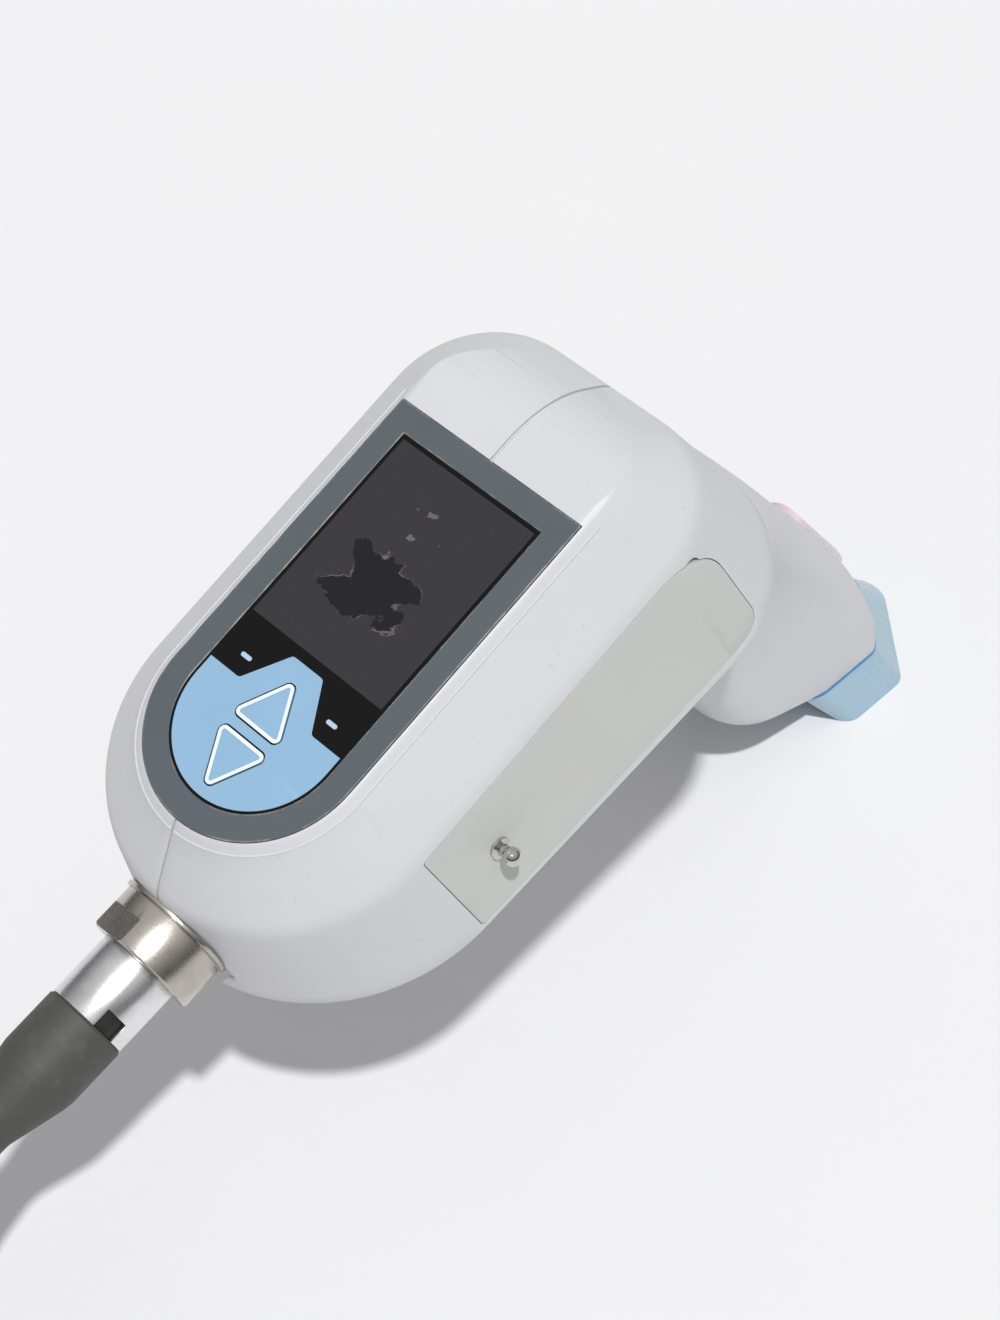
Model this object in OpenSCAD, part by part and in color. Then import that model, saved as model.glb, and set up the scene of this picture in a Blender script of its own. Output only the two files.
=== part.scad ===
// Hand-held dental camera: a display body on a forward-leaning snout.
// Z is up and the mouth of the tip lies flat on z = 0, centred on the origin.
// X is the width of the body and Y points from the cable end to the snout.

/* [Body] */
// Downward tilt of the display body towards the cable
body_tilt = 22.4; // [15:0.1:30]
// Height of the display's front edge above the mouth
body_z = 124; // [110:1:140]
// Distance of the display's front edge behind the mouth centre
body_back = 100; // [90:1:110]
// Half width of the flat top, edge to edge of the display
top_half = 20.6; // [18:0.1:24]
// Half width where the sloped band meets the side wall
band_half = 32; // [28:0.5:36]
// Depth of the sloped band
band_depth = 12; // [9:0.5:15]
// Draft of the side walls
wall_draft = 12; // [0:0.5:15]
// Length of the straight sides behind the display's front edge
straight_len = 56.7; // [50:0.1:65]
// Depth of the underside below the display at the cable end of the straight sides
under_depth = 36.5; // [32:0.5:40]
// Slope of the underside against the display
under_slope = 4.5; // [0:0.5:8]
// Housing wall
wall = 2; // [1.6:0.1:3]

/* [Display] */
// Half width of the grey display frame
bezel_half = 20.5; // [18:0.1:24]
// Half width of the black window
window_half = 15.75; // [13:0.05:18]
// Distance from the frame's front edge to the window
window_front = 4.75; // [3:0.05:7]
// Radius of the frame's two front corners
bezel_corner = 0.8; // [0.2:0.1:3]
// Travel of the two arrow keys
key_travel = 0.35; // [0.2:0.05:0.5]
// Gap round a key
key_gap = 0.3; // [0.2:0.05:0.4]

/* [Connector] */
// Depth of the connector axis below the display at the end of the straight sides
conn_depth = 26.8; // [22:0.1:30]
// Upward tilt of the connector axis against the display
conn_tilt = 5; // [0:0.5:8]
// Distance of the outer spot face from the end of the straight sides
spot_face = 33.2; // [32:0.1:35]
// Collar diameter
collar_d = 20.5; // [18:0.1:24]
// Collar length
collar_len = 8.6; // [6:0.1:12]
// Plug barrel diameter
barrel_d = 14.9; // [12:0.1:18]
// Plug barrel length outside the collar
barrel_len = 12.5; // [8:0.1:18]
// Cable boot diameter
boot_d = 15.3; // [12:0.1:18]
// Straight length of the boot
boot_straight = 11; // [6:0.5:16]
// Full length of the boot
boot_len = 28; // [24:0.5:50]
// Cable diameter
cable_d = 8; // [6:0.1:9]

/* [Snout] */
// Height of the joint between tip and snout above the mouth
seam_z = 10; // [6:0.5:14]
// Snout wall
snout_wall = 2; // [1.6:0.1:3]
// Thickness of the blue seal in the joint
seal_t = 0.8; // [0.4:0.1:1.2]
// Gap between the removable tip and what it sits on
tip_gap = 0.3; // [0.2:0.05:0.4]
// Lean of the optical axis behind the vertical
optic_lean = 40; // [30:1:50]
// Lens barrel diameter
lens_barrel_d = 11; // [9:0.5:14]
// Capture button length
button_len = 27; // [20:0.5:32]
// Capture button width
button_w = 13; // [8:0.5:16]
// Capture button stroke
button_travel = 1.2; // [0.8:0.1:1.6]

/* [Label side] */
// Length of the label plate behind the display's front edge
label_back = 57; // [50:0.5:60]
// Length of the label plate in front of the display's front edge
label_front = 13.5; // [8:0.5:18]
// Label plate thickness
label_t = 1; // [0.6:0.1:1.6]
// Dock stud head diameter
stud_head_d = 3.4; // [2.5:0.1:5]

/* [Hidden] */
$fn = 72;
eps = 0.01;
end_y = -straight_len;
plug_end = spot_face + 0.7 + collar_len + barrel_len;
led_x = 10.1;
led_y = -49.9;
key_half = 5.65;
key_height = 10.4;
key_base_up = -58.2;
key_base_down = -60.5;
shoulder_line = -53.3;
tab_top = -45.1;
board_z = -13;
nut_r = 9.6;
boss_points = [[-54, -31.5], [-22, -30], [8, -16.8]];
boss_r = 3.4;
post_points = [[-20.3, -8], [20.3, -8], [-20.3, -52], [20.3, -52]];
standoff_points = [[-17.5, -3], [17.5, -3], [-17.5, -60], [17.5, -60]];
cable_r = cable_d / 2;

// Cable route from inside the boot down to the top of the coil.
ROUTE = [[0, -211.9, 55.8], [0.8, -222.6, 51.8], [3.4, -232.4, 46.6], [7.7, -241, 40.7], [13.2, -248.8, 34.6],
  [19.2, -256.3, 28.6], [25.1, -264.4, 23.1], [30.3, -273.4, 18.6], [34.2, -283.6, 15.4], [36.3, -294.6, 13.6],
  [37, -306, 13.1]];
coil_x = -20;
coil_y = -306;
coil_inner = 28.4;
coil_outer = 62.6;
coil_height = 17.2;
strap_angles = [70, 250];
snout_steps = 5;
optic_y = -14;
optic_z = 12;
button_pos = [-11.4, 37.5];
button_face = 56;
switch_z = -11.4;
front_axis_x = 12;
front_axis_y = 4.9;

// Snout sections from the joint up into the body: front y, front z, rear y,
// rear z, half width, start of the sides behind the point, point radius,
// side radius and rear radius.
SNOUT = [
  [7.5, 10.8, -25.5, 10.8, 16.7, 12.5, 6, 4, 5],
  [5.5, 13, -35, 13.7, 16.6, 10.5, 7, 5, 6],
  [2.5, 17, -46, 17.5, 16.3, 7.5, 9, 6, 8],
  [-2.5, 24.5, -52, 25, 15.8, 4.5, 12, 7, 9],
  [-9, 35, -57, 34, 15.2, 2.2, 20, 8, 9],
  [-17, 47, -61.5, 44, 15.2, 1.5, 30, 9, 9],
  [-25.6, 58.7, -67, 54, 16.4, 1.5, 30, 10, 9],
  [-34, 70.5, -74, 64, 19.5, 1.8, 30, 12, 10],
  [-43, 82.5, -83, 73, 25, 2, 30, 15, 10],
  [-48.6, 89.5, -90, 78, 30, 2.2, 30, 18, 10],
  [-54.6, 95.1, -96.2, 80.3, 34.8, 2.5, 30, 22, 8],
  [-57.4, 95.5, -96.8, 81.4, 34.2, 4, 30, 20, 8],
  [-61.5, 100.9, -98.4, 83.5, 33, 18, 36, 10, 8],
  [-68.5, 108, -99.5, 90, 29.5, 14, 30, 10, 8],
  [-74, 111.5, -100.5, 95, 25, 10, 26, 8, 8]];
rim_row = 10;
rim_wall = 4.8;
TIP = [
  [18, 0, -18, 0, 21, 18.5, 7, 4, 4],
  [7.5, 9.7, -25.5, 9.7, 16.7, 12.5, 6, 4, 5]];

// ---------- Frames ----------

module body_frame() {
  translate([0, -body_back, body_z]) rotate([body_tilt, 0, 0]) children();
}

// Local z runs out along the plug, away from the body.
module conn_frame() {
  body_frame() translate([0, end_y, -conn_depth]) rotate([90 - conn_tilt, 0, 0]) children();
}

// Local z runs up the optical axis, from the middle of the mouth.
module optic_frame() {
  translate([0, optic_y, optic_z]) rotate([optic_lean, 0, 0]) children();
}

// Local z points out of the front of the neck, at the middle of the capture button.
module button_frame() {
  translate([0, button_pos[0], button_pos[1]]) rotate([-button_face, 0, 0]) children();
}

// ---------- Outline helpers ----------

function unit(v) = v / norm(v);

// Arc of k + 1 points that rounds the corner b between a and c.
function corner(a, b, c, r, k) =
  let (
    u = unit(a - b),
    v = unit(c - b),
    half = acos(u * v) / 2,
    mid = b + unit(u + v) * r / sin(half),
    s = b + u * r / tan(half) - mid,
    e = b + v * r / tan(half) - mid
  )
  [for (i = [0:k]) mid + r * unit(s * (1 - i / k) + e * i / k)];

function flatten(list) = [for (part = list) for (p = part) p];

// D with a straight front edge at y = front and a round end about y = end_y.
module d_shape(half, front) {
  translate([-half, end_y]) square([2 * half, front - end_y]);
  translate([0, end_y]) circle(r = half);
}

// Arrow head of the tip and snout: point at [0, 0], sides from -back to -depth.
function arrow_plan(half, back, depth, r_point, r_side, r_rear, k) =
  let (
    point = [0, 0],
    front_right = [half, -back],
    front_left = [-half, -back],
    rear_left = [-half, -depth],
    rear_right = [half, -depth]
  )
  flatten([
    corner(rear_right, front_right, point, r_side, k),
    corner(front_right, point, front_left, r_point, k),
    corner(point, front_left, rear_left, r_side, k),
    corner(front_left, rear_left, rear_right, r_rear, k),
    corner(rear_left, rear_right, front_right, r_rear, k)
  ]);

// One section of the snout. A row holds the front y and z, the rear y and z,
// the half width, how far the sides start behind the point, and three radii.
function snout_section(row, inset, k) =
  let (
    front = [row[0], row[1]],
    rear = [row[2], row[3]],
    along = unit(rear - front),
    plan = arrow_plan(row[4] - inset, row[5], norm(rear - front) - 2 * inset,
      row[6], row[7], row[8], k)
  )
  [for (p = plan) [p[0], front[0] + along[0] * (inset - p[1]), front[1] + along[1] * (inset - p[1])]];

module loft(sections) {
  n = len(sections[0]);
  last = len(sections) - 1;
  polyhedron(
    points = flatten(sections),
    faces = concat(
      [[for (i = [0:n - 1]) i]],
      [for (s = [0:last - 1]) for (i = [0:n - 1])
        [s * n + i, s * n + n + i, s * n + n + (i + 1) % n]],
      [for (s = [0:last - 1]) for (i = [0:n - 1])
        [s * n + i, s * n + n + (i + 1) % n, s * n + (i + 1) % n]],
      [[for (i = [n - 1:-1:0]) last * n + i]]
    )
  );
}

// ---------- Body volume ----------

function wall_x(depth) = band_half + (depth - band_depth) * tan(wall_draft);

// Half cross-section of the body, drawn inset from the outer skin.
function half_profile(inset) =
  let (
    top = [top_half - 0.41 * inset, -inset],
    band = [band_half - inset, -band_depth - 0.3 * inset],
    foot = [wall_x(70) - inset, -70]
  )
  concat(
    [[0, -inset]],
    corner([0, -inset], top, band, 2.5, 4),
    corner(top, band, foot, 7, 6),
    [foot, [0, -70]]
  );

// Curve of the front shoulder seen from the side, from the top face down the front.
function shoulder(inset) =
  let (
    high = [14.2, 0],
    low = [25.8, -13.9],
    foot = [35.6, -60]
  )
  [for (p = concat(corner([-10, 0], high, low, 22, 10), corner(high, low, foot, 14, 5), [foot]))
    p - 0.8 * inset * [1, 1]];

// Outline seen from the side: a sloping underside, open towards the snout, and the shoulder.
function side_outline(inset, open_front) =
  let (low = under_depth - inset, slope = tan(under_slope), curve = shoulder(inset), n = len(curve))
  concat(
    [[-120, 5], [-120, -low + (120 + end_y) * slope]],
    open_front
      ? [[-14.4, -low - (-14.4 - end_y) * slope], [-14.4, -80], [60, -80]]
      : [[35, -low - (35 - end_y) * slope]],
    [for (i = [n - 1:-1:0]) if (open_front || curve[i][1] > -40) curve[i]],
    [[curve[0][0], 5]]
  );

module body_rough(inset) {
  profile = half_profile(inset);
  side = front_axis_x;
  shifted = [for (p = profile) [max(0, p[0] - side), p[1]]];
  translate([0, end_y, 0]) rotate_extrude() polygon(profile);
  for (s = [-1, 1]) translate([s * side, front_axis_y, 0]) rotate_extrude() polygon(shifted);
  translate([0, front_axis_y, 0]) rotate([90, 0, 0]) linear_extrude(front_axis_y - end_y)
    polygon(concat(profile, [for (i = [len(profile) - 1:-1:0]) [-profile[i][0], profile[i][1]]]));
  translate([-side, front_axis_y - eps, 0]) rotate([90, 0, 90]) linear_extrude(2 * side)
    polygon([for (p = shifted) p]);
}

module body_volume(inset, open_front) {
  intersection() {
    body_rough(inset);
    rotate([90, 0, 90]) linear_extrude(100, center = true)
      polygon(side_outline(inset, open_front));
  }
}

// ---------- Housing halves ----------

module boss_rods(r, from_x, to_x) {
  for (p = boss_points) translate([from_x, p[0], p[1]]) rotate([0, 90, 0])
    cylinder(r = r, h = to_x - from_x);
}

module conn_cylinder(r, from_v, to_v, sides = $fn) {
  translate([0, end_y, -conn_depth]) rotate([90 - conn_tilt, 0, 0]) translate([0, 0, from_v])
    cylinder(r = r, h = to_v - from_v, $fn = sides);
}

module display_lip() {
  difference() {
    translate([0, 0, -3.6]) linear_extrude(2) d_shape(22.4, 1.9);
    translate([0, 0, -4]) linear_extrude(4) d_shape(18.6, -1.9);
  }
  for (p = post_points) translate([p[0], p[1], -6.1]) cylinder(r = 1.9, h = 4.2);
}

module housing_shell() {
  difference() {
    union() {
      difference() {
        body_volume(0, false);
        body_volume(wall, true);
      }
      display_lip();
      intersection() {
        body_volume(0, false);
        union() {
          conn_cylinder(12.5, 24, 40);
          boss_rods(boss_r, -60, 60);
        }
      }
    }
    translate([0, 0, -1.9]) linear_extrude(5) d_shape(bezel_half + 0.1, 0.1);
    translate([0, 0, -4]) linear_extrude(5) d_shape(18.6, -1.9);
    for (p = post_points) translate([p[0], p[1], -7]) cylinder(r = 0.8, h = 3.4);
    conn_cylinder(13, spot_face, 50);
    conn_cylinder(8.05, 16, 50);
    conn_cylinder(nut_r + 0.3, 20.7, 24, 6);
    boss_rods(1.1, -9, 1);
    boss_rods(1.4, 0, 7);
    boss_rods(2.4, 6, 60);
    difference() {
      translate([-0.3, -120, -60]) cube([0.6, 170, 70]);
      body_volume(0.5, false);
    }
  }
}

module half_space(side) {
  translate([side > 0 ? 0.03 : -60.03, -130, -80]) cube([60, 200, 100]);
}

module housing_left() {
  color([0.83, 0.83, 0.85]) body_frame() intersection() {
    housing_shell();
    half_space(-1);
  }
}

module housing_right() {
  color([0.83, 0.83, 0.85]) body_frame() difference() {
    intersection() {
      housing_shell();
      half_space(1);
    }
    difference() {
      at_side() label_slab(0.15, -5, 3);
      body_volume(label_t + 0.05, false);
    }
    at_side() stud_axis() translate([0, 0, -6]) cylinder(r = 1.35, h = 10);
  }
}

// Three self-tapping screws across the body, under the label plate.
module housing_screws() {
  color([0.6, 0.6, 0.62]) body_frame() for (p = boss_points) translate([0, p[0], p[1]])
    rotate([0, 90, 0]) difference() {
      union() {
        translate([0, 0, -8]) cylinder(r = 1.05, h = 14);
        translate([0, 0, 6]) cylinder(r = 2.2, h = 1.8);
      }
      translate([0, 0, 6.9]) cylinder(r = 0.8, h = 2, $fn = 6);
    }
}

// ---------- Label side ----------

// Local x is the outward normal of the right side wall and z runs up the wall.
module at_side() {
  translate([band_half, 0, -band_depth]) rotate([0, -wall_draft, 0]) children();
}

module label_slab(grow, from_x, to_x) {
  rear = -label_back - grow;
  front = label_front + grow;
  top = -1.2 + grow;
  outline = concat(
    corner([front, -29], [rear, -24 - grow], [rear, top], 0.6, 3),
    corner([rear, -24 - grow], [rear, top], [front, top], 0.6, 3),
    corner([rear, top], [front - 0.6, top], [front, -28.6], 11, 10),
    corner([front - 0.6, top], [front, -28.6 - grow], [rear, -24 - grow], 3, 6)
  );
  translate([from_x, 0, 0]) rotate([90, 0, 90]) linear_extrude(to_x - from_x) polygon(outline);
}

module stud_axis() {
  translate([0, -46.2, -13.5]) rotate([0, 90, 0]) children();
}

module label_plate() {
  color([0.78, 0.78, 0.76]) body_frame() difference() {
    intersection() {
      body_volume(0, false);
      at_side() label_slab(0, -5, 3);
    }
    body_volume(label_t, false);
    at_side() stud_axis() translate([0, 0, -3]) cylinder(r = 1.35, h = 6);
  }
}

// Ball-headed stud that latches the handpiece in its dock.
module dock_stud() {
  head = stud_head_d / 2;
  color([0.85, 0.85, 0.87]) body_frame() at_side() stud_axis() {
    rotate_extrude() polygon([[0, -4.2], [1.25, -4.2], [1.25, 0.02], [2, 0.02], [2, 0.6],
      [1.15, 0.9], [1.15, 2.3], [0, 2.3]]);
    translate([0, 0, 3.2]) sphere(r = head);
  }
}

module stud_nut() {
  color([0.7, 0.65, 0.5]) body_frame() at_side() stud_axis() translate([0, 0, -3.9]) difference() {
    cylinder(r = 2.9, h = 1.8, $fn = 6);
    translate([0, 0, -1]) cylinder(r = 1.25, h = 4);
  }
}

// ---------- Display and keypad ----------

module display_bezel() {
  front = -window_front;
  color([0.36, 0.41, 0.44]) body_frame() difference() {
    translate([0, 0, -1.9]) linear_extrude(2) d_shape(bezel_half, 0);
    translate([0, 0, -1.3]) linear_extrude(2) d_shape(window_half + 0.05, front + 0.05);
    translate([0, 0, -3]) linear_extrude(4) d_shape(window_half - 0.6, front - 0.6);
  }
}

// Blue key field: a round end with a stepped tab towards the screen.
module keypad_outline() {
  left = [-8.6, shoulder_line];
  right = [8.6, shoulder_line];
  top_left = [-3.5, tab_top];
  top_right = [3.5, tab_top];
  intersection() {
    d_shape(window_half - 0.45, -40);
    polygon(concat(
      [[-30, -100], [-30, shoulder_line]],
      corner([-30, shoulder_line], left, top_left, 0.9, 3),
      corner(left, top_left, top_right, 0.9, 3),
      corner(top_left, top_right, right, 0.9, 3),
      corner(top_right, right, [30, shoulder_line], 0.9, 3),
      [[30, shoulder_line], [30, -100]]
    ));
  }
}

module led_slot(grow) {
  for (s = [-1, 1]) translate([s * led_x, led_y]) {
    square([1.5, 0.8 + 2 * grow], center = true);
    for (e = [-0.75, 0.75]) translate([e, 0]) circle(r = 0.4 + grow);
  }
}

function key_base(dir) = dir > 0 ? key_base_up : key_base_down;

// Height of a key's middle on the display, where its dome sits.
function key_mid(dir) = key_base(dir) + dir * key_height / 3;

// Rounded triangle of an arrow key, grown outward; dir is 1 for up and -1 for down.
module key_outline(dir, grow) {
  apex_half = atan(key_half / key_height);
  base_half = (90 - apex_half) / 2;
  reach = key_half + grow / tan(base_half);
  base = key_base(dir) - dir * grow;
  left = [-reach, base];
  right = [reach, base];
  apex = [0, key_base(dir) + dir * (key_height + grow / sin(apex_half))];
  polygon(concat(
    corner(left, apex, right, 1 + grow, 5),
    corner(apex, right, left, 1 + grow, 5),
    corner(right, left, apex, 1 + grow, 5)
  ));
}

module display_window() {
  color([0.05, 0.05, 0.06]) body_frame() difference() {
    translate([0, 0, -1.28]) linear_extrude(1.33) d_shape(window_half, -window_front);
    translate([0, 0, -0.25]) linear_extrude(1) keypad_outline();
    for (dir = [-1, 1]) translate([0, 0, -3]) linear_extrude(5) key_outline(dir, key_gap);
    translate([0, 0, -3]) linear_extrude(5) led_slot(0.03);
  }
}

module keypad_sheet() {
  color([0.53, 0.7, 0.87]) body_frame() difference() {
    translate([0, 0, -0.25]) linear_extrude(0.33) keypad_outline();
    for (dir = [-1, 1]) translate([0, 0, -1]) linear_extrude(3) key_outline(dir, key_gap);
  }
}

module arrow_key(dir) {
  color([0.53, 0.7, 0.87]) body_frame() {
    translate([0, 0, -0.85]) linear_extrude(0.95) key_outline(dir, 0);
    translate([0, 0, -0.85]) linear_extrude(1) difference() {
      key_outline(dir, 0);
      key_outline(dir, -0.75);
    }
    translate([0, key_mid(dir), -2.1]) cylinder(r = 1.3, h = 1.3);
  }
}

module key_up() { arrow_key(1); }

module key_down() { arrow_key(-1); }

module led_light_pipes() {
  color([0.75, 0.85, 0.95]) body_frame() translate([0, 0, -2.4]) linear_extrude(2.47) led_slot(0);
}

module status_led_chips() {
  color([0.9, 0.9, 0.8]) body_frame() for (s = [-1, 1])
    translate([s * led_x - 0.8, led_y - 0.4, -3.2]) cube([1.6, 0.8, 0.6]);
}

module lcd_panel() {
  color([0.24, 0.23, 0.25]) body_frame() translate([-16.6, -46.4, -3.9]) cube([33.2, 43.6, 1.95]);
}

module lcd_backlight() {
  color([0.85, 0.85, 0.85]) body_frame() difference() {
    translate([-17.2, -46.9, -6.1]) cube([34.4, 44.6, 2.2]);
    translate([-16.2, -45.9, -4.5]) cube([32.4, 42.6, 1]);
  }
}

module keypad_board() {
  color([0.1, 0.35, 0.2]) body_frame() translate([0, 0, -4.2]) linear_extrude(1) intersection() {
    d_shape(15.2, 0);
    translate([-20, -90]) square([40, 41.8]);
  }
}

module key_domes() {
  color([0.8, 0.8, 0.8]) body_frame() for (dir = [-1, 1]) translate([0, key_mid(dir), -3.2]) {
    cylinder(r = 3, h = 0.3);
    cylinder(r = 1.8, h = 0.6);
  }
}

module display_chassis() {
  color([0.25, 0.25, 0.27]) body_frame() difference() {
    union() {
      translate([0, 0, -7.6]) linear_extrude(1.5) d_shape(22.6, -0.5);
      translate([0, 0, -6.2]) linear_extrude(2) intersection() {
        d_shape(14.8, 0);
        translate([-20, -90]) square([40, 41.5]);
      }
      for (p = standoff_points) translate([p[0], p[1], board_z]) cylinder(r = 2.4, h = 6);
    }
    for (p = post_points) translate([p[0], p[1], -9]) cylinder(r = 1.1, h = 4);
    for (p = standoff_points) translate([p[0], p[1], board_z - 1]) cylinder(r = 0.8, h = 5);
  }
}

module small_screw(length) {
  difference() {
    union() {
      translate([0, 0, -1]) cylinder(r = 1.7, h = 1);
      cylinder(r = 0.78, h = length);
    }
    translate([0, 0, -2]) cylinder(r = 0.6, h = 1.5, $fn = 6);
  }
}

module chassis_screws() {
  color([0.6, 0.6, 0.62]) body_frame() for (p = post_points)
    translate([p[0], p[1], -7.6]) small_screw(3.9);
}

module main_board() {
  color([0.08, 0.3, 0.18]) body_frame() difference() {
    translate([-21, -66, board_z - 1.6]) cube([42, 69, 1.6]);
    for (p = standoff_points) translate([p[0], p[1], board_z - 3]) cylinder(r = 1, h = 6);
  }
}

module board_screws() {
  color([0.6, 0.6, 0.62]) body_frame() for (p = standoff_points)
    translate([p[0], p[1], board_z - 1.6]) small_screw(5);
}

// Processor, memories, power chips and capacitors on the main board.
module main_chips() {
  color([0.12, 0.12, 0.13]) body_frame() {
    translate([-7, -30, board_z]) cube([14, 14, 1.5]);
    for (x = [-17, 9]) translate([x, -44, board_z]) cube([8, 11, 1.1]);
    for (x = [-13, -3, 7]) translate([x, -60, board_z - 3]) cube([6, 5, 1.4]);
    for (x = [-15, 15]) translate([x, -20, board_z - 4.6]) cylinder(r = 2.4, h = 3);
    translate([-5, -40, board_z - 3.2]) cube([10, 10, 1.6]);
  }
}

module board_sockets() {
  color([0.9, 0.88, 0.8]) body_frame() {
    translate([-6, -65.6, board_z - 4.4]) cube([12, 4, 2.8]);
    translate([-6.5, -6, board_z - 3.6]) cube([13, 4, 2]);
  }
}

// ---------- Connector ----------

module receptacle() {
  color([0.72, 0.72, 0.74]) conn_frame() rotate_extrude() polygon([[0, 17], [6, 17], [6, 19],
    [8, 19], [8, 40.8], [5.3, 40.8], [5.3, 24], [0, 24]]);
}

module receptacle_nut() {
  color([0.7, 0.65, 0.5]) conn_frame() translate([0, 0, 21]) difference() {
    cylinder(r = nut_r, h = 3, $fn = 6);
    translate([0, 0, -1]) cylinder(r = 8, h = 5);
  }
}

module connector_washer() {
  color([0.75, 0.75, 0.76]) conn_frame() translate([0, 0, spot_face]) difference() {
    cylinder(r = collar_d / 2 + 0.7, h = 0.7);
    translate([0, 0, -1]) cylinder(r = 8, h = 3);
  }
}

// Front nut of the connector, with two wrench flats.
module connector_collar() {
  start = spot_face + 0.7;
  flat = 9.1;
  color([0.72, 0.7, 0.67]) conn_frame() difference() {
    rotate_extrude() polygon([[8, start], [collar_d / 2, start],
      [collar_d / 2, start + collar_len - 0.4], [collar_d / 2 - 0.4, start + collar_len],
      [barrel_d / 2 + 0.15, start + collar_len], [barrel_d / 2 + 0.15, start + 7], [8, start + 7]]);
    for (a = [118, 298]) rotate([0, 0, a])
      translate([flat, -10, start + 3.6]) cube([4, 20, 6]);
  }
}

module plug_barrel() {
  inner = barrel_d / 2 - 1;
  color([0.82, 0.82, 0.84]) conn_frame() difference() {
    rotate_extrude() polygon([[5.5, 40.9], [barrel_d / 2, 40.9], [barrel_d / 2, plug_end],
      [inner, plug_end], [inner, 43], [5.5, 43]]);
    rotate([0, 0, 34]) translate([4, -2.2, plug_end - 3.6]) cube([6, 4.4, 4]);
  }
}

module plug_insert() {
  color([0.85, 0.83, 0.76]) conn_frame() translate([0, 0, 27]) cylinder(r = 5.2, h = 17);
}

module plug_pins() {
  color([0.85, 0.7, 0.35]) conn_frame() for (i = [0:9]) rotate([0, 0, 36 * i])
    translate([3.2, 0, 24.2]) cylinder(r = 0.4, h = 2.8, $fn = 24);
}

// Collet that grips the cable; its rough skin shows in the barrel's notch.
module plug_collet() {
  color([0.15, 0.13, 0.12]) conn_frame() translate([0, 0, 44.2]) difference() {
    cylinder(r = barrel_d / 2 - 1.1, h = plug_end - 44.3);
    translate([0, 0, -1]) cylinder(r = cable_r + 0.3, h = 20);
  }
}

module cable_boot() {
  r = boot_d / 2;
  tail = cable_r + 0.6;
  end = plug_end + boot_len;
  knee = plug_end + boot_straight;
  color([0.36, 0.38, 0.35]) conn_frame() rotate_extrude() polygon([[cable_r + 0.05, plug_end],
    [r - 0.5, plug_end], [r, plug_end + 0.5], [r, knee], [r - 0.3, knee + 2],
    [tail + 0.2, end - 5], [tail, end], [cable_r + 0.05, end]]);
}

// ---------- Cable ----------

// Ring of a tube at point i of its route, square to the route.
function tube_ring(route, i, r, sides) =
  let (
    along = unit(route[min(i + 1, len(route) - 1)] - route[max(i - 1, 0)]),
    across = unit(cross(along, [0, 0, 1])),
    up = cross(across, along)
  )
  [for (j = [0:sides - 1]) route[i] + r * (cos(360 * j / sides) * across + sin(360 * j / sides) * up)];

module tube(route, r, sides) {
  loft([for (i = [0:len(route) - 1]) tube_ring(route, i, r, sides)]);
}

// Both free lengths of the cable: from its boot to the coil, and from the coil to the far plug.
module cable_cord() {
  tail_x = coil_x - coil_outer + cable_r;
  tail = [for (p = [[-2, 4.9], [8, 5.2], [17, 6.3], [26, 7.6], [35, 8]]) [tail_x, coil_y + p[0], p[1]]];
  color([0.32, 0.34, 0.31]) {
    tube(ROUTE, cable_r, 12);
    tube(tail, cable_r, 12);
  }
}

module coil_section(grow) {
  translate([coil_inner - grow, 0]) square([coil_outer - coil_inner + 2 * grow, coil_height + grow]);
}

// Two turns of hook-and-loop strap, let into the underside of the coil.
module coil_tie() {
  color([0.1, 0.1, 0.1]) translate([coil_x, coil_y, 0]) for (a = strap_angles) rotate([0, 0, a])
    rotate([90, 0, 0]) linear_extrude(5, center = true) difference() {
      coil_section(1);
      translate([0, 0.9]) coil_section(-0.1);
    }
}

// Stand-in for the wound length of the cable: two layers of turns.
module cable_coil() {
  color([0.32, 0.34, 0.31]) translate([coil_x, coil_y, 0]) difference() {
    rotate_extrude() coil_section(0);
    for (a = strap_angles) rotate([0, 0, a])
      translate([coil_inner - 2, -2.6, -1]) cube([coil_outer - coil_inner + 4, 5.2, 2]);
  }
}

// Far end of the cable: a plug for the base station, lying beside the coil.
module far_frame() {
  translate([coil_x - coil_outer + cable_r, coil_y + 34, 8]) rotate([-90, 0, 0]) children();
}

module station_boot() {
  color([0.36, 0.38, 0.35]) far_frame() rotate_extrude() polygon([[0, 0], [4.7, 0], [5, 3],
    [7, 20], [7, 25], [0, 25]]);
}

module station_plug() {
  color([0.82, 0.82, 0.84]) far_frame() rotate_extrude() polygon([[0, 25], [7.4, 25], [7.4, 38],
    [8, 38.6], [8, 50], [7.4, 50.6], [7.4, 58], [6.6, 58], [6.6, 48], [0, 48]]);
}

module station_pins() {
  color([0.85, 0.7, 0.35]) far_frame() for (i = [0:9]) rotate([0, 0, 36 * i])
    translate([4, 0, 48]) cylinder(r = 0.45, h = 7, $fn = 24);
}

// ---------- Snout ----------

function snout_outer() = [for (row = SNOUT) snout_section(row, 0, snout_steps)];

// The cavity starts one section up and runs out through the open top.
function snout_inner() =
  let (top = SNOUT[len(SNOUT) - 1])
  concat(
    [for (i = [1:len(SNOUT) - 1])
      snout_section(SNOUT[i], i == rim_row ? rim_wall : snout_wall, snout_steps)],
    [snout_section([for (j = [0:8]) top[j] + (j == 1 || j == 3 ? 3 : 0)], snout_wall, snout_steps)]
  );

// Collar inside the tip: upright in front, with a rear that leans as the tip's does.
function spigot(inset, from_z, to_z) =
  let (row = SNOUT[0])
  [for (level = [[row[2] + 3.4, from_z], [row[2], to_z]])
    snout_section([row[0], level[1], level[0], level[1], row[4], row[5], row[6], row[7], row[8]],
      inset, snout_steps)];

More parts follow.
